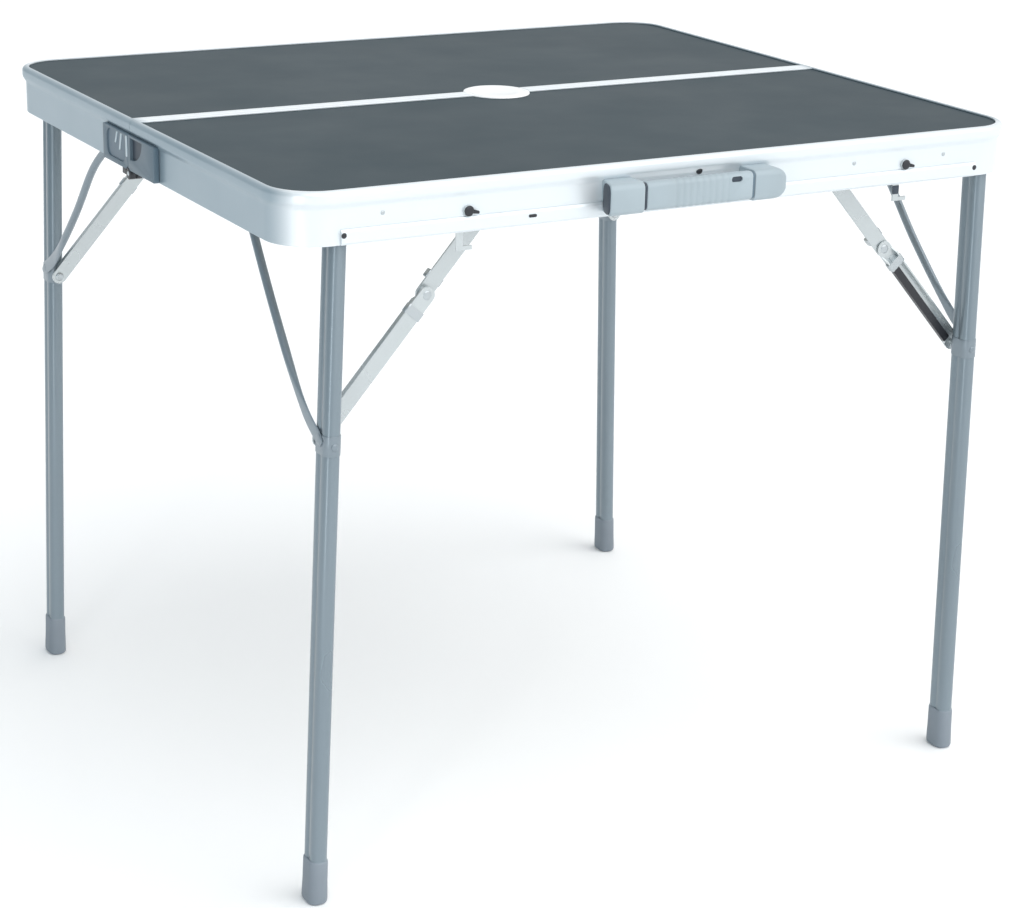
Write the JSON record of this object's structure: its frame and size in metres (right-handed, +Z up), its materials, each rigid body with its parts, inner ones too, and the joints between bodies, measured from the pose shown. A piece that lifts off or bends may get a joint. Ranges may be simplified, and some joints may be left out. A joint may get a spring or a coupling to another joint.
{
  "type": "folding camping table",
  "caption": "Camping table that folds in half like a case, with fold-away braced legs, a covered parasol hole and a carrying handle.",
  "frame": {"origin": "on the floor under the middle of the object's bounding box, with the table open", "axes": "+X along the fold line, -Y towards the side with the handle, +Z up"},
  "size_m": [0.8056, 0.724, 0.68],
  "materials": {
    "laminate": "slate-grey laminate on thin board, satin",
    "rim": "satin anodised extrusion",
    "leg": "blue-grey painted tube, satin",
    "bright": "bare pressed sheet, satin",
    "grey_plastic": "moulded, fine grain",
    "slate_plastic": "moulded, fine grain",
    "white_plastic": "moulded, smooth",
    "dark_metal": "darkened steel"
  },
  "bodies": {
    "front_half": {"front_panel": "laminate", "front_rim": "rim", "front_band": "rim", "front_centre_rail": "rim", "front_parasol_cover": "white_plastic", "hinge_cover_front_left": "slate_plastic", "hinge_cover_front_right": "slate_plastic", "handle_mount_left": "grey_plastic", "handle_mount_right": "grey_plastic", "leg_bracket_front_left": "bright", "strut_bracket_front_left": "bright", "brace_anchor_front_left": "bright", "leg_bracket_front_right": "bright", "strut_bracket_front_right": "bright", "brace_anchor_front_right": "bright"},
    "rear_half": {"rear_panel": "laminate", "rear_rim": "rim", "rear_band": "rim", "rear_centre_rail": "rim", "rear_parasol_cover": "white_plastic", "hinge_cover_rear_left": "slate_plastic", "hinge_cover_rear_right": "slate_plastic", "latch_stud_left": "dark_metal", "latch_stud_right": "dark_metal", "leg_bracket_rear_right": "bright", "strut_bracket_rear_right": "bright", "brace_anchor_rear_right": "bright", "leg_bracket_rear_left": "bright", "strut_bracket_rear_left": "bright", "brace_anchor_rear_left": "bright"},
    "hinge_pins": {"hinge_pin_left": "dark_metal", "hinge_pin_right": "dark_metal"},
    "handle": {"handle_grip": "grey_plastic"},
    "latch_left": {"latch_left": "dark_metal"},
    "latch_right": {"latch_right": "dark_metal"},
    "leg_front_left": {"leg_tube_front_left": "leg", "leg_foot_front_left": "grey_plastic", "leg_strut_front_left": "leg", "leg_axle_front_left": "bright"},
    "brace_upper_front_left": {"brace_upper_front_left": "bright"},
    "brace_lower_front_left": {"brace_lower_front_left": "bright"},
    "leg_front_right": {"leg_tube_front_right": "leg", "leg_foot_front_right": "grey_plastic", "leg_strut_front_right": "leg", "leg_axle_front_right": "bright"},
    "brace_upper_front_right": {"brace_upper_front_right": "bright"},
    "brace_lower_front_right": {"brace_lower_front_right": "bright"},
    "leg_rear_right": {"leg_tube_rear_right": "leg", "leg_foot_rear_right": "grey_plastic", "leg_strut_rear_right": "leg", "leg_axle_rear_right": "bright"},
    "brace_upper_rear_right": {"brace_upper_rear_right": "bright"},
    "brace_lower_rear_right": {"brace_lower_rear_right": "bright"},
    "leg_rear_left": {"leg_tube_rear_left": "leg", "leg_foot_rear_left": "grey_plastic", "leg_strut_rear_left": "leg", "leg_axle_rear_left": "bright"},
    "brace_upper_rear_left": {"brace_upper_rear_left": "bright"},
    "brace_lower_rear_left": {"brace_lower_rear_left": "bright"}
  },
  "joints": [
    {"name": "case_fold", "type": "hinge", "parent": "front_half", "child": "hinge_pins", "pos_m": [0, 0.012, 0.629], "axis": [-1, 0, 0], "range_deg": [0, 90]},
    {"name": "case_close", "type": "hinge", "parent": "hinge_pins", "child": "rear_half", "pos_m": [0, 0.012, 0.629], "axis": [-1, 0, 0], "range_deg": [0, 90]},
    {"name": "handle_swing", "type": "hinge", "parent": "front_half", "child": "handle", "pos_m": [0.004, -0.352, 0.6607], "axis": [-1, 0, 0], "range_deg": [0, 90]},
    {"name": "latch_left_turn", "type": "hinge", "parent": "front_half", "child": "latch_left", "pos_m": [-0.222, -0.332, 0.651], "axis": [0, -1, 0], "range_deg": [0, 20]},
    {"name": "latch_right_turn", "type": "hinge", "parent": "front_half", "child": "latch_right", "pos_m": [0.258, -0.332, 0.651], "axis": [0, -1, 0], "range_deg": [0, 20]},
    {"name": "leg_fold_front_left", "type": "hinge", "parent": "front_half", "child": "leg_front_left", "pos_m": [-0.341, -0.316, 0.6625], "axis": [0, -1, 0], "range_deg": [0, 91.8]},
    {"name": "brace_upper_fold_front_left", "type": "hinge", "parent": "front_half", "child": "brace_upper_front_left", "pos_m": [-0.161, -0.316, 0.6625], "axis": [0, 1, 0], "range_deg": [0, 48.82]},
    {"name": "brace_lower_fold_front_left", "type": "hinge", "parent": "leg_front_left", "child": "brace_lower_front_left", "pos_m": [-0.34771, -0.316, 0.44911], "axis": [0, -1, 0], "range_deg": [0, 39.39]},
    {"name": "leg_fold_front_right", "type": "hinge", "parent": "front_half", "child": "leg_front_right", "pos_m": [0.362, -0.316, 0.644], "axis": [0, 1, 0], "range_deg": [0, 91.8]},
    {"name": "brace_upper_fold_front_right", "type": "hinge", "parent": "front_half", "child": "brace_upper_front_right", "pos_m": [0.194, -0.316, 0.644], "axis": [0, -1, 0], "range_deg": [0, 48.23]},
    {"name": "brace_lower_fold_front_right", "type": "hinge", "parent": "leg_front_right", "child": "brace_lower_front_right", "pos_m": [0.36813, -0.316, 0.4491], "axis": [0, 1, 0], "range_deg": [0, 39.98]},
    {"name": "leg_fold_rear_right", "type": "hinge", "parent": "rear_half", "child": "leg_rear_right", "pos_m": [0.341, 0.34, 0.6625], "axis": [0, 1, 0], "range_deg": [0, 91.8]},
    {"name": "brace_upper_fold_rear_right", "type": "hinge", "parent": "rear_half", "child": "brace_upper_rear_right", "pos_m": [0.161, 0.34, 0.6625], "axis": [0, -1, 0], "range_deg": [0, 48.82]},
    {"name": "brace_lower_fold_rear_right", "type": "hinge", "parent": "leg_rear_right", "child": "brace_lower_rear_right", "pos_m": [0.34771, 0.34, 0.44911], "axis": [0, 1, 0], "range_deg": [0, 39.39]},
    {"name": "leg_fold_rear_left", "type": "hinge", "parent": "rear_half", "child": "leg_rear_left", "pos_m": [-0.362, 0.34, 0.644], "axis": [0, -1, 0], "range_deg": [0, 91.8]},
    {"name": "brace_upper_fold_rear_left", "type": "hinge", "parent": "rear_half", "child": "brace_upper_rear_left", "pos_m": [-0.194, 0.34, 0.644], "axis": [0, 1, 0], "range_deg": [0, 48.23]},
    {"name": "brace_lower_fold_rear_left", "type": "hinge", "parent": "leg_rear_left", "child": "brace_lower_rear_left", "pos_m": [-0.36813, 0.34, 0.4491], "axis": [0, -1, 0], "range_deg": [0, 39.98]}
  ],
  "couplings": [
    {"joint": "brace_upper_fold_front_left", "follows": "leg_fold_front_left", "ratio": 0.53177},
    {"joint": "brace_lower_fold_front_left", "follows": "leg_fold_front_left", "ratio": 0.42902},
    {"joint": "brace_upper_fold_front_right", "follows": "leg_fold_front_right", "ratio": 0.5253},
    {"joint": "brace_lower_fold_front_right", "follows": "leg_fold_front_right", "ratio": 0.43548},
    {"joint": "brace_upper_fold_rear_right", "follows": "leg_fold_rear_right", "ratio": 0.53177},
    {"joint": "brace_lower_fold_rear_right", "follows": "leg_fold_rear_right", "ratio": 0.42902},
    {"joint": "brace_upper_fold_rear_left", "follows": "leg_fold_rear_left", "ratio": 0.5253},
    {"joint": "brace_lower_fold_rear_left", "follows": "leg_fold_rear_left", "ratio": 0.43548}
  ]
}
